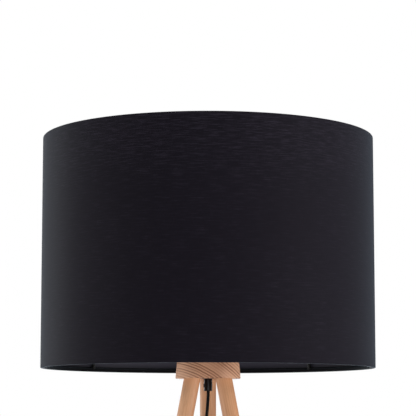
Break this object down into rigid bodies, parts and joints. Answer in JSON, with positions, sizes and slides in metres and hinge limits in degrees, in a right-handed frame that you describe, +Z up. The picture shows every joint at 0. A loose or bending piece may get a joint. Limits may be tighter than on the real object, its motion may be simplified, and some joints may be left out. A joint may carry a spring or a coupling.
{
  "type": "floor lamp",
  "caption": "Tripod floor lamp: round wooden legs in a tapered wooden hub, a black fabric drum shade on a wire spider, and a flat cord with foot switch and plug.",
  "frame": {"origin": "on the lamp's axis at floor level", "axes": "+Z up along the axis of the hub, lampholder and shade; -Y is the front, between the two front legs; the third leg points to +Y"},
  "size_m": [0.5012, 0.5175, 1.508],
  "materials": {
    "hub_wood": "satin lacquer on pine",
    "leg_wood": "satin lacquer on pine",
    "shade_cloth": "fine slub weave",
    "shade_lining": "smooth black film",
    "frame_wire": "satin black",
    "black_plastic": "moulded satin",
    "holder_plastic": "moulded",
    "cord_sheath": "smooth soft sheath",
    "tie_strap": "woven strap",
    "plug_rubber": "fine spark-eroded grain",
    "steel": "zinc plated",
    "nickel": "nickel plated",
    "porcelain": "glazed",
    "opal_glass": "opal",
    "black_glass": "vitreous insulator"
  },
  "bodies": {
    "stand": {"hub_block": "hub_wood", "hub_plate": "steel", "leg_front_left": "leg_wood", "leg_front_right": "leg_wood", "leg_back": "leg_wood", "leg_inserts": "steel", "leg_bolts": "steel", "bolt_washers": "steel", "foot_glides": "black_plastic", "glide_nails": "steel", "threaded_tube": "steel", "tube_coupling": "steel", "cord_grip": "black_plastic", "cord_grip_screw": "black_plastic", "inner_lead": "cord_sheath", "lampholder_cap": "holder_plastic", "lampholder_shell": "holder_plastic", "contact_block": "porcelain", "contact_sleeve": "nickel", "centre_contact": "nickel", "terminal_screws": "nickel", "shade_ring_lower": "holder_plastic", "shade_ring_upper": "holder_plastic", "cord_drop": "cord_sheath", "cord_tail": "cord_sheath", "cord_coil": "cord_sheath", "cord_lead": "cord_sheath", "coil_tie": "tie_strap", "switch_base": "black_plastic", "switch_cover": "black_plastic", "switch_contacts": "nickel", "switch_spring": "steel", "switch_screws": "steel", "plug_body": "plug_rubber", "plug_relief": "plug_rubber", "plug_pins": "nickel"},
    "shade": {"shade_fabric": "shade_cloth", "shade_liner": "shade_lining", "top_ring": "frame_wire", "bottom_ring": "frame_wire", "top_hem": "shade_cloth", "bottom_hem": "shade_cloth", "spider_fitter": "frame_wire", "spider_arms": "frame_wire"},
    "bulb_tip": {"bulb_tip": "black_glass"},
    "bulb": {"bulb_glass": "opal_glass", "bulb_cap": "nickel"},
    "switch_button": {"switch_button": "black_plastic"}
  },
  "joints": [
    {"name": "shade_turn", "type": "hinge", "parent": "stand", "child": "shade", "pos_m": [0, 0, 1.248], "axis": [0, 0, 1], "continuous": true},
    {"name": "bulb_rise", "type": "slide", "parent": "stand", "child": "bulb_tip", "axis": [0, 0, 1], "range_m": [0, 0.011]},
    {"name": "bulb_turn", "type": "hinge", "parent": "bulb_tip", "child": "bulb", "pos_m": [0, 0, 1.3], "axis": [0, 0, 1], "range_deg": [0, 1080]},
    {"name": "switch_press", "type": "slide", "parent": "stand", "child": "switch_button", "axis": [0, 0, -1], "range_m": [0, 0.003], "stiffness_N_per_m": 600, "springref_m": -0.002, "deforming": ["switch_spring"]}
  ],
  "couplings": [
    {"joint": "bulb_rise", "follows": "bulb_turn", "m_per_rad": 0.00057773}
  ]
}
